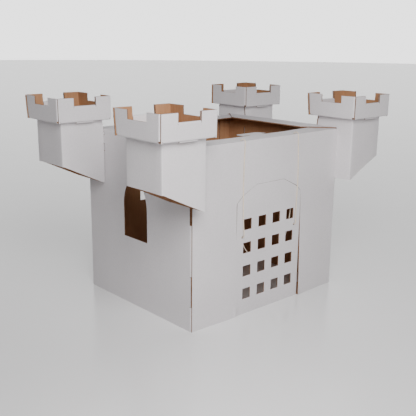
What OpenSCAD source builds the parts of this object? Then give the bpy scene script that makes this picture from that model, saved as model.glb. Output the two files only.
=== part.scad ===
// Folded white card play castle.
// Two L-shaped wall sheets, four corner towers, four tower crowns and a gate cord with a knot at each end.
// Origin: middle of the footprint, on the floor. X runs along the gate wall, Y towards the rear, Z up.

/* [Board] */
// Thickness of the corrugated board
board = 6; // [4:0.5:7]
// Gap between separate sheets that lie against each other
fit_gap = 0.3; // [0.2:0.1:1]
// Gap between two edges of one sheet that were cut apart
edge_gap = 1; // [0.5:0.5:3]

/* [Walls] */
// Width of the gate wall and the rear wall
wall_w = 940; // [760:10:1200]
// Depth of the two side walls
wall_d = 770; // [700:10:1000]
// Height of the gate wall and the rear wall
wall_h = 800; // [740:10:1000]
// Width of the top flanges that are folded inwards
flange_w = 115; // [60:5:140]
// How far the slanted end of a side flange runs back along the wall
flange_slant = 145; // [20:5:180]
// Width of the flap that a side wall folds behind the next wall
flap_w = 80; // [40:5:110]
// Height of the lower end of the slot in a corner flap's fold
corner_slot_z = 475; // [300:5:600]
// Length of that slot
corner_slot_h = 110; // [20:5:150]
// Width of that slot along the wall
corner_slot_w = 8; // [4:1:12]
// How far it runs into the flap, from the wall's outer face
corner_slot_in = 14; // [8:1:30]
// Width of the bottom flap that the gate is creased on
sill_w = 100; // [40:5:140]

/* [Gate] */
// Width of the gate
gate_w = 420; // [400:10:520]
// Height of the straight sides of the gate
gate_side_h = 525; // [500:5:600]
// Height of the flat top of the gate
gate_top_h = 598; // [585:1:680]
// Where the lower slant of the gate's shoulder ends, inwards from the side
shoulder_x = 36; // [10:2:60]
// Rise of that lower slant
shoulder_rise = 32; // [10:2:40]
// Where the upper slant meets the flat top, inwards from the side
top_inset = 119; // [80:1:160]
// Width of the cut on the left and over the top of the gate
gate_cut = 2; // [1:0.5:4]
// Width of the cut on the right of the gate
gate_cut_right = 4; // [1:0.5:8]

/* [Gate holes] */
// Side of each square hole
hole = 50; // [20:1:60]
// Holes in each row and rows of holes
hole_count = 4; // [2:1:4]
// Distance between hole centres along the gate
hole_pitch_x = 94; // [70:1:110]
// Distance between hole centres up the gate
hole_pitch_z = 109; // [70:1:125]
// Height of the centre of the lowest row
hole_first_z = 98; // [60:1:120]

/* [Windows] */
// Width of a pointed side window
window_w = 176; // [100:2:240]
// Height of its sill above the floor
window_sill = 325; // [200:5:450]
// Height of its straight sides
window_side = 150; // [60:5:200]
// Distance of its centre from the middle of the wall, towards the rear
window_shift = 16; // [-40:1:40]
// Width of the rear window
rear_w = 340; // [200:10:500]
// Height of the rear window
rear_h = 200; // [100:10:300]
// Height of its sill above the floor
rear_sill = 395; // [200:5:500]
// Size of its clipped upper corners
rear_clip = 40; // [10:5:60]

/* [Cleat] */
// Width of the mushroom-shaped tab on the gate wall's top flange
cleat_w = 150; // [100:5:200]
// How far it stands out from the flange
cleat_len = 74; // [50:2:90]
// Radius of its free corners
cleat_r = 24; // [10:1:30]
// Depth of the slot on each side of its neck
cleat_slot = 36; // [15:1:40]
// Width of that slot
cleat_slot_w = 16; // [10:1:24]
// Distance of its centre from the middle of the wall
cleat_shift = 24; // [-60:1:60]

/* [Towers] */
// Outer side of the square towers
tower_w = 222; // [160:2:260]
// How far a tower stands past the gate wall or the rear wall
tower_out = 88; // [40:2:110]
// Height of the tower's top, where the crown rests
tower_top = 855; // [840:1:1050]
// Height of the tower's lower edge at its outer face
tower_outer_z = 654; // [560:1:680]
// Height of the tower's lower edge at the wall
tower_inner_z = 554; // [500:1:560]
// Length of a hook tab inside the wall
hook_len = 5; // [4:1:30]
// Height of the lower hook tab
hook_low_h = 32; // [20:1:40]
// Height of the upper hook tab
hook_up_h = 12; // [8:1:16]
// Bottom of the lower hook tab
hook_low_z = 708; // [690:1:720]
// Bottom of the upper hook tab
hook_up_z = 783; // [770:1:784]
// Width of wall slot left open beside a hook tab
slot_open = 8; // [4:1:12]
// Slot height left free over and under a hook tab
slot_play = 2; // [1:0.5:4]

/* [Crowns] */
// How far a crown overhangs its tower on each side
crown_over = 29; // [15:1:40]
// Height of a crown's walls
crown_h = 108; // [90:1:130]
// Depth of the notch between two merlons
notch_h = 36; // [20:1:50]
// Width of the notch
notch_w = 116; // [80:2:140]
// Depth of the flap folded inwards at the notch
notch_flap = 60; // [30:1:62]
// Width of the lock tab under the crown's front and rear walls
lock_w = 90; // [40:2:120]
// How far that tab hangs below the wall
lock_h = 5; // [2:1:8]

/* [Cord] */
// Diameter of the gate cord
cord_d = 5; // [4:0.5:6]
// Diameter of the holes for the cord
cord_hole = 11; // [10:0.5:14]
// Diameter of a knot
knot_d = 18; // [15:1:22]
// Length of a knot
knot_len = 14; // [10:1:18]

/* [Hidden] */

card = "whitesmoke";
cotton = "antiquewhite";
over = 1;                                   // how far a cutting shape passes a face

hw = wall_w / 2;
hd = wall_d / 2;
side_top = wall_h + fit_gap + board;        // side flanges lie on the end flanges
flap_top = wall_h - board - edge_gap;       // corner flaps stop under the end flanges
tower_cx = hw + fit_gap + tower_w / 2;      // tower centre, from the middle of the castle
tower_cy = hd + tower_out - tower_w / 2;
seam_y = tower_cy - tower_w / 2;            // tower face that carries the hook tabs
crown_w = tower_w + 2 * crown_over;
notch_z = crown_h - notch_h;
crown_in = crown_w / 2 - board;
slope_h = tower_outer_z - tower_inner_z;
cord_x = 173;                               // the cord's holes lie where its route passes: from the
cord_z = 369;                               // middle of the gate, from the floor, and from the
cord_flange_y = 24;                         // gate wall's outer face

// route of the cord: from the left knot up the wall, over it, down and round inside, and back
// to the right knot; [x, y, z] from the middle of the footprint
cord_route = [
    [-173, -378.7, 369], [-173, -384, 369], [-173, -390, 371], [-173, -394, 376], [-173, -395, 384],
    [-173, -393, 405], [-174, -390, 440], [-176, -389, 520], [-177, -389, 620], [-176, -389, 710],
    [-174, -390, 770], [-173, -390.5, 792], [-173, -388.5, 801], [-173, -382, 807], [-173, -373, 807.5],
    [-173, -365, 803.5], [-173, -361, 795], [-173, -361, 770], [-173, -361, 690], [-172, -361, 560],
    [-169, -361, 430], [-150, -361, 335], [-95, -361, 265], [0, -361, 236], [95, -361, 265],
    [150, -361, 335], [169, -361, 430], [172, -361, 560], [173, -361, 690], [173, -361, 770],
    [173, -361, 795], [173, -365, 803.5], [173, -373, 807.5], [173, -382, 807], [173, -388.5, 801],
    [173, -390.5, 792], [175, -390, 765], [180, -389, 690], [183, -389, 590], [180, -389, 480],
    [175, -391, 415], [173, -395, 384], [173, -394, 376], [173, -390, 371], [173, -384, 369],
    [173, -378.7, 369]
];
cord_sides = 10;

// one point of a smooth curve through four points
function curve_point(a, b, c, d, t) =
    0.5 * (2 * b + (c - a) * t + (2 * a - 5 * b + 4 * c - d) * t * t + (3 * b - a - 3 * c + d) * t * t * t);

// the route, with a point halfway along every step
function smooth(p) = [
    for (i = [0:len(p) - 2], t = [0, 0.5])
        if (t == 0 || norm(p[i + 1] - p[i]) > 8)
            curve_point(p[max(i - 1, 0)], p[i], p[i + 1], p[min(i + 2, len(p) - 1)], t),
    p[len(p) - 1]
];

function unit(v) = v / norm(v);
function along(p, i) = unit(p[min(i + 1, len(p) - 1)] - p[max(i - 1, 0)]);

// ring directions that turn with the route and never spin
function carry(u, t) = unit(u - (u * t) * t);
function sides_of(p, i = 0, u = [1, 0, 0]) =
    i == len(p) ? [] : let (v = carry(u, along(p, i))) concat([v], sides_of(p, i + 1, v));

// closed tube of the given radius along a list of points
module tube(p, r, n) {
    us = sides_of(p);
    rings = [
        for (i = [0:len(p) - 1], k = [0:n - 1])
            let (u = us[i], w = cross(along(p, i), u), a = 360 * k / n)
            p[i] + r * cos(a) * u + r * sin(a) * w
    ];
    faces = concat(
        [[for (k = [n - 1:-1:0]) k]],
        [for (i = [0:len(p) - 2], k = [0:n - 1])
            let (a = i * n + k, b = i * n + (k + 1) % n) [a, b, b + n, a + n]],
        [[for (k = [0:n - 1]) (len(p) - 1) * n + k]]
    );
    polyhedron(rings, [for (f = faces) [for (j = [len(f) - 1:-1:0]) f[j]]]);
}

// a sheet lying in XZ, with its front at y
module upright(y, depth = board) {
    translate([0, y + depth, 0]) rotate([90, 0, 0]) linear_extrude(depth) children();
}

// a sheet lying in YZ, with its low side at x
module sideways(x, depth = board) {
    translate([x, 0, 0]) rotate([90, 0, 90]) linear_extrude(depth) children();
}

// outline of the gate, wider by left, right and up
module gate_outline(left, right, up) {
    half = gate_w / 2;
    polygon([
        [-half - left, -over], [-half - left, gate_side_h + up / 2],
        [-half + shoulder_x - left, gate_side_h + shoulder_rise + up],
        [-half + top_inset, gate_top_h + up], [half - top_inset, gate_top_h + up],
        [half - shoulder_x + right, gate_side_h + shoulder_rise + up],
        [half + right, gate_side_h + up / 2], [half + right, -over]
    ]);
}

module gate_holes() {
    first_x = -(hole_count - 1) / 2 * hole_pitch_x;
    for (i = [0:hole_count - 1], j = [0:hole_count - 1])
        translate([first_x + i * hole_pitch_x - hole / 2, hole_first_z + j * hole_pitch_z - hole / 2])
            square(hole);
}

// pointed window: straight sides under two arcs, each centred on the other side
module pointed_window() {
    translate([-window_w / 2, 0]) square([window_w, window_side]);
    translate([0, window_side]) intersection() {
        translate([-window_w / 2, 0]) circle(r = window_w, $fn = 96);
        translate([window_w / 2, 0]) circle(r = window_w, $fn = 96);
        translate([-window_w / 2, -over]) square([window_w, window_w + over]);
    }
}

module rear_outline() {
    half = rear_w / 2;
    polygon([[-half, 0], [half, 0], [half, rear_h - rear_clip], [half - rear_clip, rear_h],
             [rear_clip - half, rear_h], [-half, rear_h - rear_clip]]);
}

// the two wall slots of one tower, on the wall at +X; dir is 1 for the tower at +Y. They run on past
// the end of the hook tab, so that a flange over it is notched too
module hook_slots(dir) {
    y = dir > 0 ? seam_y - slot_open : -seam_y - board - fit_gap;
    depth = board + hook_len + over;
    for (s = [[hook_low_z, hook_low_h], [hook_up_z, hook_up_h]])
        translate([hw - depth, y, s[0] - slot_play])
            cube([depth + over, board + fit_gap + slot_open, s[1] + 2 * slot_play]);
}

// flange over a side wall at +X, with slanted ends
module side_flange() {
    translate([0, 0, side_top - board]) linear_extrude(board) polygon([
        [hw, -hd + board], [hw, hd - board - fit_gap],
        [hw - flange_w, hd - flange_slant], [hw - flange_w, -hd + flange_slant]
    ]);
}

// end wall at -Y and side wall at +X, folded from one sheet, with its window at window_y
module wall_sheet(flap_low, window_y) {
    inner = wall_w - 2 * (board + edge_gap);
    difference() {
        union() {
            translate([-hw, -hd, 0]) cube([wall_w, board, wall_h]);
            translate([hw - board, -hd, 0]) cube([board, wall_d - board - fit_gap, wall_h]);
            translate([hw - board, -hd + board, 0]) cube([board, wall_d - 2 * board - fit_gap, side_top]);
            translate([hw - flap_w, hd - 2 * board - fit_gap, flap_low])
                cube([flap_w, board, flap_top - flap_low]);
            translate([-inner / 2, -hd, wall_h - board]) cube([inner, flange_w, board]);
            side_flange();
        }
        sideways(hw - board - over, board + 2 * over)
            translate([window_y, window_sill]) pointed_window();
        hook_slots(1);
        hook_slots(-1);
        // the same for a hook tab that comes through the other sheet's wall
        mirror([1, 0, 0]) hook_slots(-1);
        // slot in the fold of the corner flap
        translate([hw - corner_slot_in, hd - board - fit_gap - corner_slot_w, corner_slot_z])
            cube([corner_slot_in + over, corner_slot_w + over, corner_slot_h]);
    }
}

module cleat() {
    start = -hd + flange_w;
    translate([cleat_shift, start, wall_h - board]) linear_extrude(board) difference() {
        union() {
            translate([-cleat_w / 2, -over]) square([cleat_w, cleat_len - cleat_r + over]);
            translate([cleat_r - cleat_w / 2, 0]) square([cleat_w - 2 * cleat_r, cleat_len]);
            for (s = [-1, 1]) translate([s * (cleat_w / 2 - cleat_r), cleat_len - cleat_r])
                circle(cleat_r, $fn = 48);
        }
        for (s = [-1, 1]) {
            translate([s * (cleat_w / 2 - cleat_slot + cleat_slot_w / 2), cleat_slot_w / 2])
                circle(d = cleat_slot_w, $fn = 32);
            translate([s * cleat_w / 2 - cleat_slot + cleat_slot_w / 2, 0])
                square([2 * cleat_slot - cleat_slot_w, cleat_slot_w]);
        }
    }
}

module walls_front_right() {
    sill_l = wall_w - 2 * (board + edge_gap);
    color(card) difference() {
        union() {
            wall_sheet(0, window_shift);
            cleat();
            translate([-sill_l / 2, -hd, 0]) cube([sill_l, sill_w, board]);
        }
        upright(-hd - over, board + over) difference() {
            gate_outline(gate_cut, gate_cut_right, gate_cut);
            gate_outline(0, 0, 0);
        }
        upright(-hd - over, board + 2 * over) gate_holes();
        for (s = [-1, 1]) {
            translate([s * cord_x, -hd - over, cord_z]) rotate([-90, 0, 0])
                cylinder(h = board + 2 * over, d = cord_hole, $fn = 32);
            translate([s * cord_x, -hd + cord_flange_y, wall_h - board - over])
                cylinder(h = board + 2 * over, d = cord_hole, $fn = 32);
        }
    }
}

module walls_left_rear() {
    color(card) rotate([0, 0, 180]) difference() {
        wall_sheet(board + edge_gap, -window_shift);
        upright(-hd - over, board + 2 * over) translate([0, rear_sill]) rear_outline();
    }
}

// tower at -X and -Y; its rear face carries the hook tabs
module tower() {
    low = tower_inner_z;
    size = tower_w;
    difference() {
        translate([-tower_cx - size / 2, -tower_cy - size / 2, low]) difference() {
            cube([size, size, tower_top - low]);
            translate([board, board, -over])
                cube([size - 2 * board, size - 2 * board, tower_top - low + 2 * over]);
            translate([size - board - edge_gap, size - board - edge_gap, -over])
                cube([edge_gap, edge_gap + over, tower_top - low + 2 * over]);
            translate([size - board - edge_gap, size - board - edge_gap, -over])
                cube([board + edge_gap + over, edge_gap, tower_top - low + 2 * over]);
        }
        upright(-tower_cy - size / 2 - over, size + 2 * over) polygon([
            [-tower_cx - size / 2 - over, low - over], [-tower_cx + size / 2 - board, low - over],
            [-tower_cx + size / 2 - board, low], [-tower_cx - size / 2 + board, tower_outer_z],
            [-tower_cx - size / 2 - over, tower_outer_z]
        ]);
    }
    for (s = [[hook_low_z, hook_low_h], [hook_up_z, hook_up_h]])
        translate([-hw - fit_gap - over, -seam_y - board, s[0]])
            cube([fit_gap + over + board + hook_len, board, s[1]]);
}

// crown with its base at z = 0; its front and rear walls are the full-width ones
module crown() {
    half = crown_w / 2;
    difference() {
        union() {
            translate([-half, -half, 0]) cube([crown_w, crown_w, crown_h]);
            for (s = [-1, 1]) translate([-lock_w / 2, s * (half - board / 2) - board / 2, -lock_h])
                cube([lock_w, board, lock_h + over]);
        }
        // between the corner flaps, and over the notch flaps
        translate([-crown_in, -crown_in + board, board])
            cube([2 * crown_in, 2 * (crown_in - board), crown_h]);
        for (s = [-1, 1]) {
            translate([-notch_w / 2, s * (crown_in - board / 2) - board / 2, board])
                cube([notch_w, board, notch_z - notch_flap - board]);
            for (x = [-notch_w / 2, notch_w / 2 - edge_gap])
                translate([x, s * (crown_in - board / 2) - board / 2, board])
                    cube([edge_gap, board, notch_z - board + over]);
        }
        translate([-half - over, -notch_w / 2, notch_z]) cube([crown_w + 2 * over, notch_w, notch_h + over]);
        translate([-notch_w / 2, -half - over, notch_z]) cube([notch_w, crown_w + 2 * over, notch_h + over]);
    }
}

module place_crown(x, y) {
    color(card) translate([x * tower_cx, y * tower_cy, tower_top]) crown();
}

module knot(x) {
    color(cotton) translate([x, -hd + board + fit_gap, cord_z]) rotate([-90, 0, 0])
        cylinder(h = knot_len, d = knot_d, $fn = 24);
}

walls_front_right();
walls_left_rear();
color(card) tower();  // tower_front_left
color(card) mirror([0, 1, 0]) tower();  // tower_rear_left
color(card) mirror([1, 0, 0]) tower();  // tower_front_right
color(card) rotate([0, 0, 180]) tower();  // tower_rear_right
place_crown(-1, -1);  // crown_front_left
place_crown(-1, 1);  // crown_rear_left
place_crown(1, -1);  // crown_front_right
place_crown(1, 1);  // crown_rear_right
color(cotton) tube(smooth(cord_route), cord_d / 2, cord_sides);  // gate_cord
knot(-cord_x);  // knot_left
knot(cord_x);  // knot_right
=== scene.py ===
import math
import bmesh
import bpy
from mathutils import Matrix, Vector, noise


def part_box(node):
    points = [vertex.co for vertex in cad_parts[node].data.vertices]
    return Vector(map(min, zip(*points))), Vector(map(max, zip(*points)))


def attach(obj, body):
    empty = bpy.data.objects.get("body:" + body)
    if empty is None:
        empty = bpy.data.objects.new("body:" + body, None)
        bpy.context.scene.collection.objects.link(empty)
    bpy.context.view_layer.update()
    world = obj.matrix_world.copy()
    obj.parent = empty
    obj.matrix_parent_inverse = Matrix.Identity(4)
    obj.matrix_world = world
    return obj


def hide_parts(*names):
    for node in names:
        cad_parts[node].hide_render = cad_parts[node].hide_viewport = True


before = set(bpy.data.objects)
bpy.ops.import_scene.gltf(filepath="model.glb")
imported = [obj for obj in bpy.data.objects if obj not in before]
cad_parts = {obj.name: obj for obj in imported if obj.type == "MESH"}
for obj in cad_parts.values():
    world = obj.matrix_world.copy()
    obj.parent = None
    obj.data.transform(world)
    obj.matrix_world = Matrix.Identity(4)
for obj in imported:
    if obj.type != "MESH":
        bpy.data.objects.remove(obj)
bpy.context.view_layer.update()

# board values shared by every folded sheet, in metres
boardValues = {
    "thick": 0.0057,        # drawn a little under 6 mm, so sheets that touch don't fight
    "cad": 0.006,
    "gap": 0.0003,
    "foldRadius": 0.0062,
    "foldSteps": 4,
    "cellSize": 0.047,      # spacing of the cuts that let a panel bow
    "flutePitch": 0.0072,
    "near": 0.0004,         # how close to a plane still counts as on it
}


# ---------- small helpers ----------

def openEdit(piece):
    bpy.ops.object.select_all(action="DESELECT")
    bpy.context.view_layer.objects.active = piece
    piece.select_set(True)
    bpy.ops.object.mode_set(mode="EDIT")
    bpy.ops.mesh.select_mode(type="FACE")
    bpy.ops.mesh.select_all(action="DESELECT")


def closeEdit():
    bpy.ops.object.mode_set(mode="OBJECT")
    bpy.ops.object.select_all(action="DESELECT")


def cutAcross(point, normal):
    bpy.ops.mesh.select_all(action="SELECT")
    bpy.ops.mesh.bisect(plane_co=point, plane_no=normal, use_fill=False)


def pickFaces(piece, test):
    bpy.ops.mesh.select_mode(type="FACE")
    bpy.ops.mesh.select_all(action="DESELECT")
    mesh = bmesh.from_edit_mesh(piece.data)
    count = 0
    for face in mesh.faces:
        if test(face.calc_center_median(), face.normal):
            face.select_set(True)
            count += 1
    mesh.select_flush_mode()
    bmesh.update_edit_mesh(piece.data)
    return count


def pickEdges(piece, test):
    bpy.ops.mesh.select_mode(type="EDGE")
    bpy.ops.mesh.select_all(action="DESELECT")
    mesh = bmesh.from_edit_mesh(piece.data)
    count = 0
    for edge in mesh.edges:
        if test(edge):
            edge.select_set(True)
            count += 1
    bmesh.update_edit_mesh(piece.data)
    return count


def removeFaces(piece, test):
    if pickFaces(piece, test):
        bpy.ops.mesh.delete(type="FACE")


def edgeMiddle(edge):
    return (edge.verts[0].co + edge.verts[1].co) / 2


def isFold(edge):
    return len(edge.link_faces) == 2 and edge.calc_face_angle() > math.radians(60)


def moveVerts(piece, shift):
    for vert in piece.data.vertices:
        vert.co = vert.co + Vector(shift(vert.co))
    piece.data.update()


def ease(value, low, high):
    t = min(max((value - low) / (high - low), 0), 1)
    return t * t * (3 - 2 * t)


# ---------- materials ----------

def newMaterial(name, roughness, specular):
    mat = bpy.data.materials.new(name)
    mat.use_nodes = True
    nodes, links = mat.node_tree.nodes, mat.node_tree.links
    shader = nodes["Principled BSDF"]
    shader.inputs["Roughness"].default_value = roughness
    shader.inputs["Specular IOR Level"].default_value = specular
    return mat, nodes, links, shader


def addNoise(nodes, links, coords, scale, detail, stretch=None):
    made = nodes.new("ShaderNodeTexNoise")
    made.inputs["Scale"].default_value = scale
    made.inputs["Detail"].default_value = detail
    if stretch:
        mapping = nodes.new("ShaderNodeMapping")
        mapping.inputs["Scale"].default_value = stretch
        links.new(coords, mapping.inputs["Vector"])
        coords = mapping.outputs["Vector"]
    links.new(coords, made.inputs["Vector"])
    return made.outputs["Fac"]


def addRamp(nodes, links, factor, stops):
    ramp = nodes.new("ShaderNodeValToRGB")
    while len(ramp.color_ramp.elements) < len(stops):
        ramp.color_ramp.elements.new(0.5)
    for element, (place, color) in zip(ramp.color_ramp.elements, stops):
        element.position = place
        element.color = (*color, 1)
    links.new(factor, ramp.inputs["Fac"])
    return ramp.outputs["Color"]


def addMath(nodes, links, kind, first, second):
    made = nodes.new("ShaderNodeMath")
    made.operation = kind
    for socket, value in zip(made.inputs, (first, second)):
        if isinstance(value, (int, float)):
            socket.default_value = value
        else:
            links.new(value, socket)
    return made.outputs[0]


def addMix(nodes, links, factor, first, second, kind="MIX"):
    made = nodes.new("ShaderNodeMix")
    made.data_type = "RGBA"
    made.blend_type = kind
    for socket, value in ((made.inputs[0], factor), (made.inputs[6], first), (made.inputs[7], second)):
        if isinstance(value, (int, float)):
            socket.default_value = value
        elif isinstance(value, tuple):
            socket.default_value = (*value, 1)
        else:
            links.new(value, socket)
    return made.outputs[2]


def addBump(nodes, links, shader, height, strength, distance, below=None):
    bump = nodes.new("ShaderNodeBump")
    bump.inputs["Strength"].default_value = strength
    bump.inputs["Distance"].default_value = distance
    links.new(height, bump.inputs["Height"])
    if below:
        links.new(below, bump.inputs["Normal"])
    links.new(bump.outputs["Normal"], shader.inputs["Normal"])
    return bump.outputs["Normal"]


# the flutes' wave along the board's own UV x, and the UV y that runs across a cut edge
def fluteHeight(nodes, links):
    uv = nodes.new("ShaderNodeUVMap")
    uv.uv_map = "board"
    split = nodes.new("ShaderNodeSeparateXYZ")
    links.new(uv.outputs["UV"], split.inputs["Vector"])
    turns = addMath(nodes, links, "MULTIPLY", split.outputs["X"], 2 * math.pi / boardValues["flutePitch"])
    return addMath(nodes, links, "SINE", turns, 0.0), split.outputs["Y"]


def makeWhiteLiner():
    look = {"white": (0.735, 0.705, 0.718), "shade": (0.675, 0.646, 0.66), "fleck": (0.5, 0.45, 0.42),
            "mottleDark": (0.52, 0.495, 0.5), "mottleLight": (0.82, 0.8, 0.81),
            "roughness": 0.6, "specular": 0.25}
    mat, nodes, links, shader = newMaterial("whiteLiner", look["roughness"], look["specular"])
    coords = nodes.new("ShaderNodeTexCoord").outputs["Object"]
    cloud = addNoise(nodes, links, coords, 3.2, 3)
    color = addRamp(nodes, links, cloud, [(0.3, look["shade"]), (0.62, look["white"])])
    mottle = addNoise(nodes, links, coords, 160, 4)
    color = addMix(nodes, links, 0.16, color, addRamp(nodes, links, mottle, [
        (0.3, look["mottleDark"]), (0.7, look["mottleLight"])]))
    fleck = addNoise(nodes, links, coords, 900, 2)
    spot = addRamp(nodes, links, fleck, [(0.7, (0, 0, 0)), (0.76, (1, 1, 1))])
    color = addMix(nodes, links, addMath(nodes, links, "MULTIPLY", spot, 0.35), color, look["fleck"])
    links.new(color, shader.inputs["Base Color"])
    rib = fluteHeight(nodes, links)[0]
    fibre = addNoise(nodes, links, coords, 420, 5)
    first = addBump(nodes, links, shader, rib, 0.12, 0.0004)
    addBump(nodes, links, shader, fibre, 0.16, 0.0004, first)
    return mat


def makeKraftLiner():
    look = {"light": (0.427, 0.226, 0.116), "dark": (0.325, 0.162, 0.08), "fleck": (0.188, 0.089, 0.043),
            "streak": (0.53, 0.308, 0.171), "roughness": 0.78, "specular": 0.2}
    mat, nodes, links, shader = newMaterial("kraftLiner", look["roughness"], look["specular"])
    coords = nodes.new("ShaderNodeTexCoord").outputs["Object"]
    cloud = addNoise(nodes, links, coords, 5, 4)
    color = addRamp(nodes, links, cloud, [(0.3, look["dark"]), (0.65, look["light"])])
    streak = addNoise(nodes, links, coords, 90, 5, (1, 1, 0.16))
    color = addMix(nodes, links, 0.22, color, addRamp(nodes, links, streak, [
        (0.3, look["dark"]), (0.7, look["streak"])]))
    fleck = addNoise(nodes, links, coords, 700, 3)
    spot = addRamp(nodes, links, fleck, [(0.66, (0, 0, 0)), (0.72, (1, 1, 1))])
    color = addMix(nodes, links, addMath(nodes, links, "MULTIPLY", spot, 0.4), color, look["fleck"])
    links.new(color, shader.inputs["Base Color"])
    rib = fluteHeight(nodes, links)[0]
    fibre = addNoise(nodes, links, coords, 500, 5)
    first = addBump(nodes, links, shader, rib, 0.3, 0.0005)
    addBump(nodes, links, shader, fibre, 0.3, 0.0005, first)
    return mat


# cut edge of double-wall board: UV x runs along the edge, UV y across it from the white liner
def makeRawEdge(name, flutesShow):
    # paper and paperDark sit about a quarter darker than the kraft liner: partly the cut paper's own tone,
    # partly painted shade on the cut edges
    look = {"paper": (0.325, 0.18, 0.103), "paperDark": (0.222, 0.12, 0.068),
            # hollow: near-black painted shade inside the open flutes between the paper layers
            "hollow": (0.05, 0.026, 0.014), "white": (0.71, 0.68, 0.69),
            "roughness": 0.85, "specular": 0.15, "midLiner": 0.56}
    mat, nodes, links, shader = newMaterial(name, look["roughness"], look["specular"])
    coords = nodes.new("ShaderNodeTexCoord").outputs["Object"]
    turns, across = fluteHeight(nodes, links)
    wobble = addNoise(nodes, links, coords, 260, 4)
    across = addMath(nodes, links, "ADD", across, addMath(nodes, links, "MULTIPLY", addMath(
        nodes, links, "SUBTRACT", wobble, 0.5), 0.12))
    lines = []                                        # how near the point is to each paper layer
    layers = [(0.03, 0.05), (look["midLiner"], 0.045), (0.97, 0.05)]
    if flutesShow:
        near = addMath(nodes, links, "ADD", addMath(nodes, links, "MULTIPLY", turns, 0.2), 0.3)
        far = addMath(nodes, links, "ADD", addMath(nodes, links, "MULTIPLY", turns, -0.15), 0.77)
        layers += [(near, 0.06), (far, 0.06)]
    else:
        layers += [(0.28, 0.07), (0.76, 0.06)]
    for place, width in layers:
        distance = addMath(nodes, links, "ABSOLUTE", addMath(nodes, links, "SUBTRACT", across, place), 0.0)
        lines.append(addMath(nodes, links, "LESS_THAN", distance, width))
    paper = lines[0]
    for line in lines[1:]:
        paper = addMath(nodes, links, "MAXIMUM", paper, line)
    torn = addNoise(nodes, links, coords, 340, 5)
    paper = addMath(nodes, links, "MAXIMUM", paper, addMath(nodes, links, "GREATER_THAN", torn, 0.5))
    # the cut paper's tone, darkened partly as painted shade
    tone = addRamp(nodes, links, addNoise(nodes, links, coords, 120, 4), [
        (0.3, look["paperDark"]), (0.7, look["paper"])])
    # the paper layers over the near-black painted shade of the flutes' hollows
    color = addMix(nodes, links, paper, look["hollow"], tone)
    whiteLine = addMath(nodes, links, "LESS_THAN", across, 0.085)
    color = addMix(nodes, links, whiteLine, color, look["white"])
    links.new(color, shader.inputs["Base Color"])
    addBump(nodes, links, shader, paper, 0.5, 0.001)
    return mat


def makeCotton():
    look = {"light": (0.84, 0.74, 0.61), "dark": (0.66, 0.55, 0.42),
            "roughness": 0.9, "specular": 0.15}
    mat, nodes, links, shader = newMaterial("naturalCotton", look["roughness"], look["specular"])
    coords = nodes.new("ShaderNodeTexCoord").outputs["Object"]
    tone = addNoise(nodes, links, coords, 260, 4)
    color = addRamp(nodes, links, tone, [(0.3, look["dark"]), (0.62, look["light"])])
    links.new(color, shader.inputs["Base Color"])
    shader.inputs["Sheen Weight"].default_value = 0.2
    fibre = addNoise(nodes, links, coords, 1800, 4)
    addBump(nodes, links, shader, fibre, 0.5, 0.0006)
    return mat


def makeFloor():
    look = {"shade": (0.88, 0.88, 0.88), "light": (0.9, 0.9, 0.9), "roughness": 0.2, "specular": 1.0}
    mat, nodes, links, shader = newMaterial("paleFloor", look["roughness"], look["specular"])
    coords = nodes.new("ShaderNodeTexCoord").outputs["Object"]
    cloud = addNoise(nodes, links, coords, 1.5, 2)
    tone = addRamp(nodes, links, cloud, [(0.3, look["shade"]), (0.7, look["light"])])
    links.new(tone, shader.inputs["Base Color"])
    return mat


boardLooks = [makeWhiteLiner(), makeKraftLiner(), makeRawEdge("cutEndsOfFlutes", True),
              makeRawEdge("cutSidesOfFlutes", False)]
cotton = makeCotton()
print("materials made")


# ---------- camera, floor and light ----------

cameraValues = {"place": (-2.208, -2.407, 1.243), "yaw": -42.1, "pitch": -14.486, "roll": 0.538,
                "lens": 58.27, "sensor": 36.0}


def makeCamera(values):
    data = bpy.data.cameras.new("viewCamera")
    data.lens = values["lens"]
    data.sensor_width = values["sensor"]
    view = bpy.data.objects.new("viewCamera", data)
    bpy.context.scene.collection.objects.link(view)
    turn = (Matrix.Rotation(math.radians(values["yaw"]), 4, "Z")
            @ Matrix.Rotation(math.radians(90 + values["pitch"]), 4, "X")
            @ Matrix.Rotation(math.radians(values["roll"]), 4, "Z"))
    view.matrix_world = Matrix.Translation(values["place"]) @ turn
    bpy.context.scene.camera = view


studioValues = {
    "floorRadius": 30,
    "ceiling": 0.04,                # light from above and from the sides
    "sides": 0.13,
    "backWall": 2.5,                # light wall behind the object, and the way to it
    "backTowards": (0.67, 0.74),
    "aim": (0, 0, 0.45),
    "keyLamp": {"place": (-1.27, -2.08, 2.02), "size": 1.4, "power": 92, "color": (1, 0.985, 0.99)},
    "fillLamp": {"place": (-2.6, -0.9, 2.4), "size": 0.9, "power": 12, "color": (1, 0.99, 0.995)},
}


def addLamp(name, values):
    lampValues = values[name]
    data = bpy.data.lights.new(name, "AREA")
    data.shape = "RECTANGLE"
    data.size = data.size_y = lampValues["size"]
    data.energy = lampValues["power"]
    data.color = lampValues["color"]
    lamp = bpy.data.objects.new(name, data)
    bpy.context.scene.collection.objects.link(lamp)
    lamp.location = lampValues["place"]
    aim = Vector(values["aim"]) - Vector(lampValues["place"])
    lamp.rotation_euler = aim.to_track_quat("-Z", "Y").to_euler()


def addFloor(values):
    bpy.ops.mesh.primitive_circle_add(vertices=128, radius=values["floorRadius"], fill_type="NGON")
    ground = bpy.context.object
    ground.name = "studioFloor"
    ground.data.materials.append(makeFloor())


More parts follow.
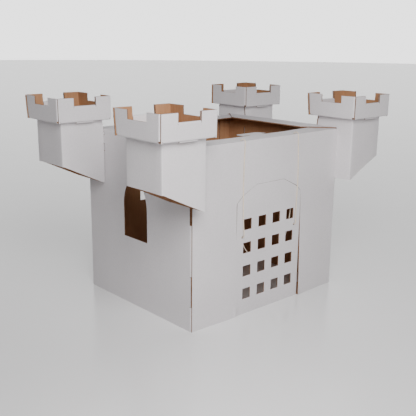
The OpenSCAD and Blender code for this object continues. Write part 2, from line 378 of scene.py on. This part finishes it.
# soft world: dim above, a little lighter at the sides, and light low down behind the object
def addWorld(values):
    world = bpy.data.worlds.new("studioWorld")
    bpy.context.scene.world = world
    world.use_nodes = True
    nodes, links = world.node_tree.nodes, world.node_tree.links
    split = nodes.new("ShaderNodeSeparateXYZ")
    links.new(nodes.new("ShaderNodeTexCoord").outputs["Generated"], split.inputs["Vector"])
    high, low, back = [(values[key],) * 3 for key in ("ceiling", "sides", "backWall")]
    black, white = (0, 0, 0), (1, 1, 1)
    sky = addRamp(nodes, links, split.outputs["Z"], [(0.1, low), (0.6, high)])
    parts = [addMath(nodes, links, "MULTIPLY", split.outputs[axis], part)
             for axis, part in zip("XY", values["backTowards"])]
    behind = addRamp(nodes, links, addMath(nodes, links, "ADD", *parts), [(0.3, black), (0.7, white)])
    lowDown = addRamp(nodes, links, split.outputs["Z"], [(0.3, white), (0.5, black)])
    backWall = addMix(nodes, links, 1.0, behind, lowDown, "MULTIPLY")
    links.new(addMix(nodes, links, backWall, sky, back), nodes["Background"].inputs["Color"])


def makeStudio(values):
    addFloor(values)
    addWorld(values)
    addLamp("keyLamp", values)
    addLamp("fillLamp", values)


makeCamera(cameraValues)
makeStudio(studioValues)
print("camera and light made")


# ---------- cord ----------

cordValues = {"diameter": 0.005, "length": 2.269, "strands": 3, "pitch": 0.016, "ringStep": 0.0016,
              "ringSides": 15, "strandDepth": 0.22, "stepsPerSpan": 24}
cordRoute = [
    (-0.173, -0.3787, 0.369), (-0.173, -0.384, 0.369), (-0.173, -0.39, 0.371), (-0.173, -0.394, 0.376),
    (-0.173, -0.395, 0.384), (-0.173, -0.393, 0.405), (-0.174, -0.39, 0.44), (-0.176, -0.389, 0.52),
    (-0.177, -0.389, 0.62), (-0.176, -0.389, 0.71), (-0.174, -0.39, 0.77), (-0.173, -0.3905, 0.792),
    (-0.173, -0.3885, 0.801), (-0.173, -0.382, 0.807), (-0.173, -0.373, 0.8075), (-0.173, -0.365, 0.8035),
    (-0.173, -0.361, 0.795), (-0.173, -0.361, 0.77), (-0.173, -0.361, 0.69), (-0.172, -0.361, 0.56),
    (-0.169, -0.361, 0.43), (-0.15, -0.361, 0.335), (-0.095, -0.361, 0.265), (0, -0.361, 0.236),
    (0.095, -0.361, 0.265), (0.15, -0.361, 0.335), (0.169, -0.361, 0.43), (0.172, -0.361, 0.56),
    (0.173, -0.361, 0.69), (0.173, -0.361, 0.77), (0.173, -0.361, 0.795), (0.173, -0.365, 0.8035),
    (0.173, -0.373, 0.8075), (0.173, -0.382, 0.807), (0.173, -0.3885, 0.801), (0.173, -0.3905, 0.792),
    (0.175, -0.39, 0.765), (0.18, -0.389, 0.69), (0.183, -0.389, 0.59), (0.18, -0.389, 0.48),
    (0.175, -0.391, 0.415), (0.173, -0.395, 0.384), (0.173, -0.394, 0.376), (0.173, -0.39, 0.371),
    (0.173, -0.384, 0.369), (0.173, -0.3787, 0.369)]


# smooth line through given points, resampled at an even step
def smoothLine(points, step, closed=False):
    pts = [Vector(p) for p in points]
    count = len(pts)
    fine = []
    for i in range(count if closed else count - 1):
        near = [j % count if closed else min(max(j, 0), count - 1) for j in range(i - 1, i + 3)]
        a, b, c, d = [pts[j] for j in near]
        for k in range(cordValues["stepsPerSpan"]):
            t = k / cordValues["stepsPerSpan"]
            fine.append(0.5 * (2 * b + (c - a) * t + (2 * a - 5 * b + 4 * c - d) * t ** 2
                               + (3 * b - a - 3 * c + d) * t ** 3))
    fine.append(pts[0] if closed else pts[-1])
    even, left = [fine[0]], step
    for a, b in zip(fine, fine[1:]):
        span = (b - a).length
        while span >= left and span > 1e-9:
            a = a + (b - a) * (left / span)
            even.append(a)
            span, left = (b - a).length, step
        left -= span
    return even


# tube of twisted strands along a line, closed at both ends
def twistedTube(name, line, radius, values):
    sides, rings, faces = values["ringSides"], [], []
    across = Vector((1, 0, 0))
    walked = 0
    for i, point in enumerate(line):
        ahead = (line[min(i + 1, len(line) - 1)] - line[max(i - 1, 0)]).normalized()
        across = (across - across.dot(ahead) * ahead).normalized()
        other = ahead.cross(across)
        if i:
            walked += (point - line[i - 1]).length
        turn = 2 * math.pi * walked / values["pitch"]
        for k in range(sides):
            angle = 2 * math.pi * k / sides
            lobe = abs(math.cos(values["strands"] * (angle - turn) / 2))
            reach = radius * (1 - values["strandDepth"] * (1 - lobe))
            rings.append(point + across * (reach * math.cos(angle)) + other * (reach * math.sin(angle)))
    for i in range(len(line) - 1):
        for k in range(sides):
            low, lowNext = i * sides + k, i * sides + (k + 1) % sides
            faces.append((low, lowNext, lowNext + sides, low + sides))
    faces.append(tuple(reversed(range(sides))))
    faces.append(tuple(range((len(line) - 1) * sides, len(line) * sides)))
    data = bpy.data.meshes.new(name)
    data.from_pydata(rings, [], faces)
    data.update()
    piece = bpy.data.objects.new(name, data)
    bpy.context.scene.collection.objects.link(piece)
    data.materials.append(cotton)
    data.polygons.foreach_set("use_smooth", [True] * len(faces))
    return piece


def makeCord(values, route):
    line = smoothLine(route, values["ringStep"])
    cord = twistedTube("gateCord", line, values["diameter"] / 2, values)
    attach(cord, "root")
    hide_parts("gate_cord")
    return cord, line


# tight overhand knot behind the gate, on the cord's end
def makeKnot(name, node, values):
    low, high = [Vector(c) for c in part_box(node)]
    middle = (low + high) / 2
    reach = (high.x - low.x) / 2 - values["diameter"] * 0.45
    depth = (high.y - low.y) / 2 - values["diameter"] * 0.5
    loop = []
    for i in range(24):
        t = 2 * math.pi * i / 24
        loop.append((middle.x + reach * (math.sin(t) + 1.5 * math.sin(2 * t)) / 2.5,
                     middle.y - depth * math.sin(3 * t),
                     middle.z + reach * (math.cos(t) - 1.5 * math.cos(2 * t)) / 2.5))
    knot = twistedTube(name, smoothLine(loop, values["ringStep"], True), values["diameter"] * 0.46, values)
    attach(knot, "root")
    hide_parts(node)
    return knot


cordPiece, cordLine = makeCord(cordValues, cordRoute)
knots = [makeKnot("knotLeft", "knot_left", cordValues), makeKnot("knotRight", "knot_right", cordValues)]
print("cord made")


# ---------- folded sheets ----------

# rounds the folds of an open sheet, lets it bow, gives it its thickness and its three faces
def finishSheet(piece, sideZone, bow, flatTop=None):
    openEdit(piece)
    pickEdges(piece, isFold)
    bpy.ops.mesh.bevel(offset=boardValues["foldRadius"], offset_type="OFFSET", affect="EDGES",
                       segments=boardValues["foldSteps"], profile=0.5, clamp_overlap=True)
    closeEdit()
    moveVerts(piece, bow)
    outerCount = len(piece.data.vertices)
    for poly in piece.data.polygons:
        poly.material_index = 0
    piece.data.materials.clear()
    for look in boardLooks:
        piece.data.materials.append(look)
    bpy.context.view_layer.objects.active = piece
    piece.select_set(True)
    thicken = piece.modifiers.new("thickness", "SOLIDIFY")
    thicken.thickness = boardValues["thick"]
    thicken.offset = -1
    thicken.use_even_offset = True
    thicken.material_offset = 1
    thicken.material_offset_rim = 2
    bpy.ops.object.modifier_apply(modifier="thickness")
    mapBoard(piece, outerCount, sideZone, flatTop)
    bpy.ops.object.shade_smooth_by_angle(angle=math.radians(32))
    bpy.ops.object.select_all(action="DESELECT")


# the board's UV: x across the flutes on a liner, and along the edge with y across it on a cut edge
def mapBoard(piece, outerCount, sideZone, flatTop):
    mesh = piece.data
    while mesh.uv_layers:
        mesh.uv_layers.remove(mesh.uv_layers[0])
    layer = mesh.uv_layers.new(name="board").data
    for poly in mesh.polygons:
        centre, upright = poly.center, abs(poly.normal.z) < 0.7
        if poly.material_index < 2:
            alongX = abs(poly.normal.y) >= abs(poly.normal.x) if upright else not sideZone(centre)
            for loop in poly.loop_indices:
                co = mesh.vertices[mesh.loops[loop].vertex_index].co
                first, other = (co.x, co.y) if alongX else (co.y, co.x)
                layer[loop].uv = (first, co.z if upright else other)
            continue
        outer = [mesh.vertices[v].co for v in poly.vertices if v < outerCount]
        if len(outer) < 2:
            continue
        edge = outer[1] - outer[0]
        axis = max(range(3), key=lambda k: abs(edge[k]))
        flutes = Vector((0, 0, 1))
        if flatTop and abs(centre.z - flatTop) <= 0.03 and abs(edge.z) <= 0.7 * edge.length:
            flutes = Vector((1, 0, 0)) if sideZone(centre) else Vector((0, 1, 0))
        poly.material_index = 2 if abs(poly.normal.dot(flutes)) > 0.5 else 3
        for loop in poly.loop_indices:
            v = mesh.loops[loop].vertex_index
            layer[loop].uv = (mesh.vertices[v].co[axis], 0.0 if v < outerCount else 1.0)


# the outer skin of a CAD sheet, as one clean surface
def skinFromNode(node, name, isOuter):
    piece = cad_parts[node].copy()
    piece.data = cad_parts[node].data.copy()
    piece.name = name
    bpy.context.scene.collection.objects.link(piece)
    for key in list(piece.keys()):
        del piece[key]
    openEdit(piece)
    bpy.ops.mesh.select_all(action="SELECT")
    bpy.ops.mesh.remove_doubles(threshold=0.00002)
    removeFaces(piece, lambda spot, normal: not isOuter(spot, normal))
    bpy.ops.mesh.select_all(action="SELECT")
    bpy.ops.mesh.dissolve_limited(angle_limit=math.radians(1))
    return piece


def cutGrid(low, high, step):
    for axis in range(3):
        count = max(1, round((high[axis] - low[axis]) / step))
        normal = Vector([1 if k == axis else 0 for k in range(3)])
        for i in range(1, count):
            point = Vector(low) + normal * ((high[axis] - low[axis]) * i / count)
            cutAcross(point, normal)


def finishPiece(piece, node):
    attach(piece, "root")
    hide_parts(node)
    print(piece.name, "made:", len(piece.data.polygons), "faces")


# ---------- walls ----------

wallValues = {
    "flange": 0.115, "sill": 0.1,
    "droopFront": 0.003, "droopSide": 0.005,        # how far the flanges sag at their free edges
    "bulgeRight": 0.010, "bulgeLeft": 0.006,        # how proud the wall stands beside the gate
    "bulgeTop": 0.55, "bulgeRightEnd": 0.44, "bulgeLeftEnd": 0.42,
    "rearBow": 0.004, "sideBow": 0.005,
    "flatFrom": 0.113, "flatTo": 0.25,              # stretch of the corner flap that lies unfolded
    "endInset": 0.0035, "cut": 0.001, "cornerCut": 0.0015, "foldCut": 0.0085,
    "slotEdge": 0.243, "slotClose": 0.006,
}
gateValues = {
    "half": 0.21, "sideTop": 0.525, "shoulderHalf": 0.174, "shoulderTop": 0.557,
    "topHalf": 0.091, "top": 0.598,
    "lift": 0.0011, "hollow": 0.0015, "gapClose": 0.0028, "gapOpen": 0.0012, "edge": 0.0006,
}
wallLow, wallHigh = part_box("walls_front_right")
halfW, halfD, sideTop = wallHigh[0], -wallLow[1], wallHigh[2]
wallTop = sideTop - boardValues["cad"] - boardValues["gap"]
flapFace = wallHigh[1]


# turn is 1 for the sheet with the gate and -1 for the one opposite, which is turned half round
def wallOuter(turn):
    near = boardValues["near"]

    def isOuter(spot, normal):
        x, y, z = spot.x * turn, spot.y * turn, spot.z
        nx, ny, nz = normal.x * turn, normal.y * turn, normal.z
        if ny < -0.9 and abs(y + halfD) < near:
            return z < wallTop
        if nx > 0.9 and abs(x - halfW) < near:
            return True
        if nz > 0.9 and abs(z - wallTop) < near:
            return True
        if nz > 0.9 and abs(z - sideTop) < near:
            return y > -halfD + boardValues["cad"]
        if ny > 0.9 and abs(y - flapFace) < near:
            return True
        return nz < -0.9 and z < near and y < -halfD + wallValues["sill"] and turn > 0 \
            and abs(x) < halfW - boardValues["cad"]
    return isOuter


def wallSide(turn):
    return lambda spot: spot.x * turn > halfW - wallValues["flange"] and spot.z > wallTop + 0.002


# height of the gate's outline at a distance from its middle
def gateTop(x):
    v = gateValues
    if x > v["shoulderHalf"]:
        slope = (v["shoulderTop"] - v["sideTop"]) / (v["half"] - v["shoulderHalf"])
        return v["shoulderTop"] - (x - v["shoulderHalf"]) * slope
    slope = (v["top"] - v["shoulderTop"]) / (v["shoulderHalf"] - v["topHalf"])
    return v["top"] - max(x - v["topHalf"], 0) * slope


# the gate wall: both parts beside the gate stand proud, and the gate sits a little askew in its cut
def frontBow(x, z):
    v, g = wallValues, gateValues
    lowPart = 1 - ease(z, 0.0, v["bulgeTop"])
    if x > g["half"] + 0.003:
        return 0, -v["bulgeRight"] * lowPart * (1 - ease(x, g["half"], v["bulgeRightEnd"])), 0
    if x < -g["half"] - 0.001:
        return 0, -v["bulgeLeft"] * lowPart * (1 - ease(-x, g["half"], v["bulgeLeftEnd"])), 0
    if abs(x) < g["half"] + g["edge"] and z < gateTop(abs(x)) + g["edge"]:
        dx = g["gapClose"] * ease(z, 0.02, 0.36) * ease(x, 0.17, 0.205)
        dx += g["gapOpen"] * ease(-x, 0.17, 0.205)
        dy = g["hollow"] * ease(z, 0.02, 0.3) * (1 - ease(z, 0.3, 0.53))
        return dx, dy, g["lift"] * ease(z, 0.4, 0.52)
    return 0, 0, 0


# slow bow of the panels and droop of the flanges
def wallBow(turn):
    def bow(co):
        v = wallValues
        x, y, z = co.x * turn, co.y * turn, co.z
        dx = dy = dz = 0.0
        risen = math.sin(math.pi * min(max(z / wallTop, 0), 1))
        if y < -halfD + 0.004 and z < wallTop + 0.001:
            if turn > 0:
                dx, dy, dz = frontBow(x, z)
            else:
                dy += v["rearBow"] * risen * math.cos(math.pi * x / (2 * halfW))
        onSide = x > halfW - 0.004
        if turn > 0 and onSide and z > 0.7 and abs(abs(y) - v["slotEdge"]) < 0.0008:
            dy += math.copysign(v["slotClose"], y)
        if onSide and z < sideTop:
            dx -= v["sideBow"] * risen * math.cos(math.pi * y / (2 * halfD))
        if z > wallTop - 0.004:
            if wallSide(turn)(co):
                inward = max(halfW - x, 0) / v["flange"]
                dz -= v["droopSide"] * inward ** 1.3 * (1 - ease(abs(y), halfD - 0.25, halfD - 0.10))
            elif y < -halfD + 0.25:
                inward = max(y + halfD, 0) / v["flange"]
                dz -= v["droopFront"] * inward ** 1.3 * (1 - ease(abs(x), halfW - 0.28, halfW - 0.12))
        return (dx * turn, dy * turn, dz)
    return bow


# the end flange stops at a slit beside each corner, and the side wall is nicked there
def slitTopCorners(piece, turn):
    near, seam = boardValues["near"], halfW - boardValues["cad"] - wallValues["cut"]
    cutAcross((seam, 0, 0), (1, 0, 0))
    cutAcross((-seam, 0, 0), (1, 0, 0))
    cutAcross((0, 0, wallTop), (0, 0, 1))
    cutAcross((0, turn * (boardValues["cad"] - halfD), 0), (0, 1, 0))
    removeFaces(piece, lambda spot, normal: abs(spot.z - wallTop) < near and abs(spot.x) > seam + near
                and normal.z > 0.9)
    removeFaces(piece, lambda spot, normal: spot.z > wallTop + near and abs(normal.z) < 0.5
                and spot.y * turn < boardValues["cad"] - halfD)


# leaves out the stretch of the corner flap that lies unfolded, and cuts the fold free at its ends
def openCornerFlap(piece, turn):
    v = wallValues
    ends = (v["flatFrom"], v["flatTo"])
    for z in ends:
        for edge in (z - v["cut"], z + v["cut"]):
            cutAcross((0, 0, edge), (0, 0, 1))
    cutAcross((0, (flapFace - v["foldCut"]) * turn, 0), (0, 1, 0))
    removeFaces(piece, lambda spot, normal: normal.y * turn > 0.9
                and ends[0] - v["cut"] < spot.z < ends[1] + v["cut"])
    removeFaces(piece, lambda spot, normal: normal.x * turn > 0.9 and spot.y * turn > flapFace - v["foldCut"]
                and min(abs(spot.z - z) for z in ends) < v["cut"])


# the free end of the wall stops short of the corner, and a cut beside each corner frees the flange's fold
def trimEnds(piece, turn):
    v = wallValues
    seam = halfW - boardValues["cad"] - v["cut"]
    rawEnd = -turn * (halfW - v["endInset"])
    cutAcross((rawEnd, 0, 0), (1, 0, 0))
    removeFaces(piece, lambda spot, normal: normal.y * turn < -0.9 and spot.x * turn < rawEnd * turn)
    for side in (-1, 1):
        cutAcross((side * (seam - v["cornerCut"]), 0, 0), (1, 0, 0))
    cutAcross((0, 0, wallTop - v["foldCut"]), (0, 0, 1))
    removeFaces(piece, lambda spot, normal: normal.y * turn < -0.9
                and seam - v["cornerCut"] < abs(spot.x) < seam and spot.z > wallTop - v["foldCut"])


def makeWalls(name, node, turn):
    piece = skinFromNode(node, name, wallOuter(turn))
    slitTopCorners(piece, turn)
    openCornerFlap(piece, turn)
    trimEnds(piece, turn)
    low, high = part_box(node)
    cutGrid(low, high, boardValues["cellSize"])
    closeEdit()
    finishSheet(piece, wallSide(turn), wallBow(turn), wallTop)
    finishPiece(piece, node)


makeWalls("wallsFrontRight", "walls_front_right", 1)
makeWalls("wallsLeftRear", "walls_left_rear", -1)


# ---------- towers ----------

towerValues = {"seamOpen": 0.008, "seamFrom": 0.79, "seamTo": 0.855, "bow": 0.003, "bowFrom": 0.85,
               "bowTo": 0.6, "skew": 0.009}
towerLow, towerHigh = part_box("tower_front_right")
towerFar, towerNear = towerHigh[0], halfW + boardValues["gap"]
towerFront, towerSeam = -towerLow[1], -towerHigh[1]


def towerOuter(spot, normal):
    x, y = abs(spot.x), abs(spot.y)
    nx, ny = math.copysign(1, spot.x) * normal.x, math.copysign(1, spot.y) * normal.y
    near = boardValues["near"]
    if nx > 0.9:
        return abs(x - towerFar) < near
    if nx < -0.9:
        return abs(x - towerNear) < near and y > towerSeam + boardValues["cad"]
    if ny > 0.9:
        return abs(y - towerFront) < near
    return ny < -0.9 and abs(y - towerSeam) < near


# faces bow in towards the bottom, the seam opens at the top, and one tower's outer rear edge is askew
def towerBow(co):
    v = towerValues
    x, y, z = abs(co.x), abs(co.y), co.z
    sideX, sideY = math.copysign(1, co.x), math.copysign(1, co.y)
    dx = dy = 0.0
    acrossX = math.cos(math.pi * (x - (towerFar + towerNear) / 2) / (towerFar - towerNear))
    acrossY = math.cos(math.pi * (y - (towerFront + towerSeam) / 2) / (towerFront - towerSeam))
    lower = 1 - ease(z, v["bowTo"], v["bowFrom"])
    if y > towerFront - 0.004:
        dy -= v["bow"] * acrossX * lower
    if x > towerFar - 0.004:
        dx -= v["bow"] * acrossY * lower
    if x < towerNear + 0.001 and y < towerSeam + 0.06:
        nearSeam = 1 - ease(y, towerSeam + 0.005, towerSeam + 0.06)
        dy += v["seamOpen"] * ease(z, v["seamFrom"], v["seamTo"]) * nearSeam
    if sideX < 0 and sideY < 0 and y < towerSeam + 0.05:
        nearSeam = 1 - ease(y, towerSeam + 0.01, towerSeam + 0.05)
        dy -= v["skew"] * ease(x, halfW + 0.005, halfW + 0.05) * nearSeam
    return (dx * sideX, dy * sideY, 0)


def makeTower(name, node):
    piece = skinFromNode(node, name, towerOuter)
    low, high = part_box(node)
    # the hook tabs end flush with the wall's inner face
    side = math.copysign(1, low[0] + high[0])
    hookEnd = side * (halfW - boardValues["cad"])
    cutAcross((hookEnd, 0, 0), (1, 0, 0))
    removeFaces(piece, lambda spot, normal: spot.x * side < hookEnd * side)
    cutGrid(low, high, boardValues["cellSize"])
    closeEdit()
    finishSheet(piece, lambda spot: False, towerBow)
    finishPiece(piece, node)


for place in ("front_left", "rear_left", "front_right", "rear_right"):
    makeTower("tower" + place.title().replace("_", ""), "tower_" + place)


# ---------- crowns ----------

crownValues = {
    "notchHalf": 0.058, "notchDepth": 0.036, "notchFlap": 0.06,
    "lockHalf": 0.045, "lockDrop": 0.005, "lockGap": 0.0004,
    "slit": 0.009,          # height of the cut that frees a full-width wall's ends
    "fold": 0.0128,         # depth of the double fold over the notch
    "corner": 0.011, "nick": 0.0085, "cut": 0.0015,
    "frontInset": 0.0035, "rearProud": 0.0015,
    "bulge": 0.0025, "cellSize": 0.035,
}


# helpers that work on the crown being edited, with places measured from the middle of its floor
def crownTools(piece, middle):

    def cutBoth(axis, place):
        for side in (-1, 1):
            step = Vector([side * place if k == axis else 0 for k in range(3)])
            cutAcross(middle + step, step.normalized())

    def dropFaces(test):
        removeFaces(piece, lambda spot, normal: test(spot - middle))

    def extrudeEdges(axis, test, move):
        def isWanted(edge):
            along = (edge.verts[1].co - edge.verts[0].co).normalized()
            return len(edge.link_faces) == 1 and abs(along[axis]) > 0.9 and test(edgeMiddle(edge) - middle)
        pickEdges(piece, isWanted)
        bpy.ops.mesh.extrude_edges_move(TRANSFORM_OT_translate={"value": move})

    return cutBoth, dropFaces, extrudeEdges


# floor with its corners cut away, so every fold ends at a free edge, and the four walls up from it
def crownFloorAndWalls(tools, half, height, inner, wallEnd):
    cutBoth, dropFaces, extrudeEdges = tools
    nick, near = crownValues["nick"], boardValues["near"] / 2
    cutBoth(1, inner)
    cutBoth(1, inner - nick)
    cutBoth(0, wallEnd)
    dropFaces(lambda c: abs(c.x) > wallEnd and abs(c.y) > inner - nick)
    for side in (-1, 1):
        extrudeEdges(0, lambda c: abs(c.y - side * half) < near, (0, 0, height))
        extrudeEdges(1, lambda c: abs(c.x - side * half) < near and c.z < near, (0, 0, height))


# the full-width walls run on to the corner, and the others reach back to their flaps
def crownCorners(tools, half, inner, wallEnd):
    cutBoth, dropFaces, extrudeEdges = tools
    v, near = crownValues, boardValues["near"] / 2
    for side in (-1, 1):
        onWall = v["corner"] + (v["rearProud"] if side > 0 else -v["frontInset"])
        for end in (-1, 1):
            extrudeEdges(2, lambda c: abs(c.y - side * half) < near and abs(c.x - end * wallEnd) < near,
                         (end * onWall, 0, 0))
            extrudeEdges(2, lambda c: abs(c.x - side * half) < near and c.z > v["slit"]
                         and abs(c.y - end * (inner - v["nick"])) < near, (0, end * v["nick"], 0))
            extrudeEdges(2, lambda c: abs(c.x - side * half) < near and abs(c.y - end * inner) < near,
                         (-side * (half - v["notchHalf"]), 0, 0))


# notches between the merlons, with a flap folded down inside the two full-width walls
def crownNotches(tools, half, notchZ, wallEnd):
    cutBoth, dropFaces, extrudeEdges = tools
    v, near = crownValues, boardValues["near"] / 2
    notch, cut = v["notchHalf"], v["cut"]
    cutBoth(0, wallEnd + cut)
    cutBoth(0, notch)
    cutBoth(0, notch - cut)
    cutBoth(1, notch)
    dropFaces(lambda c: abs(c.y) > half - near and wallEnd < abs(c.x) < wallEnd + cut and c.z < v["slit"])
    dropFaces(lambda c: c.z > notchZ and (abs(c.x) < notch - near or abs(c.y) < notch - near))
    dropFaces(lambda c: abs(c.y) > half - near and notch - cut < abs(c.x) < notch
              and notchZ - v["nick"] < c.z < notchZ)
    for side in (-1, 1):
        for place, move in ((half, (0, -side * v["fold"], 0)), (half - v["fold"], (0, 0, -v["notchFlap"]))):
            extrudeEdges(0, lambda c: abs(c.y - side * place) < near and abs(c.z - notchZ) < near
                         and abs(c.x) < notch - cut, move)


# the floor has to face down, so that the white side is outside
def turnFloorDown(piece, middle):
    bpy.ops.mesh.select_all(action="SELECT")
    bpy.ops.mesh.normals_make_consistent(inside=False)
    floorFaces = [f for f in bmesh.from_edit_mesh(piece.data).faces
                  if (f.calc_center_median() - middle).length < 0.05]
    if floorFaces and floorFaces[0].normal.z > 0:
        bpy.ops.mesh.select_all(action="SELECT")
        bpy.ops.mesh.flip_normals()


# lock tabs that show under the full-width walls
def addLockTabs(middle, half):
    v = crownValues
    for side in (-1, 1):
        place = middle + Vector((0, side * (half - boardValues["cad"] - v["lockGap"]), 0))
        bpy.ops.mesh.primitive_plane_add(size=1, location=place, rotation=(-side * math.pi / 2, 0, 0))
        bpy.ops.transform.resize(value=(2 * v["lockHalf"], 1, 2 * v["lockDrop"]))


# the walls stand out a little at mid-span, the crown leans, and its rear wall leans further back
def crownBow(middle, half, height, lean):
    def bow(co):
        c = co - middle
        up = c.z / height
        push = crownValues["bulge"] * ease(c.z, 0.01, height) * (1 if abs(c.y) > abs(c.x) else 0.6)
        dx = lean[0] * up
        if abs(c.x) > half - 0.008:
            dx += math.copysign(push, c.x) * math.cos(math.pi * c.y / (2 * half))
        dy = lean[1] * up + (lean[2] + lean[3] * up) * ease(c.y, 0, half)
        return (dx, dy, 0)
    return bow


# one crown: floor first, then walls, corner flaps, notches and notch flaps, all one sheet
def makeCrown(name, node, lean):
    v = crownValues
    low, high = [Vector(c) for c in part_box(node)]
    half, base = (high.x - low.x) / 2, low.z + v["lockDrop"]
    height = high.z - base
    middle = Vector(((low.x + high.x) / 2, (low.y + high.y) / 2, base))
    inner = half - boardValues["cad"] - boardValues["gap"]
    wallEnd, notchZ = half - v["corner"], height - v["notchDepth"]
    bpy.ops.mesh.primitive_plane_add(size=2 * half, location=middle)
    piece = bpy.context.object
    piece.name = name
    bpy.ops.object.transform_apply(location=True, rotation=True, scale=True)
    openEdit(piece)
    tools = crownTools(piece, middle)
    crownFloorAndWalls(tools, half, height, inner, wallEnd)
    for z in (v["slit"], notchZ, notchZ - v["nick"]):
        cutAcross(middle + Vector((0, 0, z)), (0, 0, 1))
    crownCorners(tools, half, inner, wallEnd)
    crownNotches(tools, half, notchZ, wallEnd)
    turnFloorDown(piece, middle)
    cutGrid([low.x, low.y, base], high, v["cellSize"])
    addLockTabs(middle, half)
    closeEdit()
    finishSheet(piece, lambda spot: abs(spot.x - middle.x) > abs(spot.y - middle.y),
                crownBow(middle, half, height, lean))
    finishPiece(piece, node)


# how far each crown leans in X and Y at its top, then how far its rear wall stands and leans back
crownLean = {"front_left": (0.001, -0.001, 0.007, 0.012), "rear_left": (-0.001, 0.0, 0.0, 0.01),
             "front_right": (0.001, 0.0, 0.0, 0.012), "rear_right": (0.0, 0.001, 0.0, -0.002)}
for place, lean in crownLean.items():
    makeCrown("crown" + place.title().replace("_", ""), "crown_" + place, lean)
